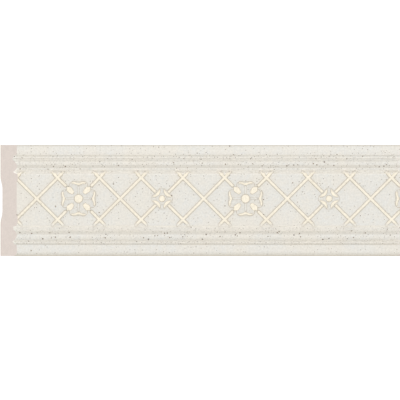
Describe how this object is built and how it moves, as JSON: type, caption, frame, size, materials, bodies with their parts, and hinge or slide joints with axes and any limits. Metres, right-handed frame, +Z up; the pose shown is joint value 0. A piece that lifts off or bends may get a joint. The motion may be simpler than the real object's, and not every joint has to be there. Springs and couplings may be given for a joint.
{
  "type": "wall moulding",
  "caption": "Length of foamed wall moulding with banded and beaded edges, a raised diamond lattice and rosettes; one end mitred, the other cut square.",
  "frame": {"origin": "on the wall plane at mid-length, on the lower glue strip of the back", "axes": "+X along the moulding from the mitred end to the square end, +Y into the wall, +Z up"},
  "size_m": [0.36, 0.0165, 0.1],
  "materials": {
    "coated_foam": "matt speckled off-white film with cream painted relief, over bare beige foam on the cut ends"
  },
  "bodies": {
    "root": {"moulding": "coated_foam"}
  },
  "joints": []
}
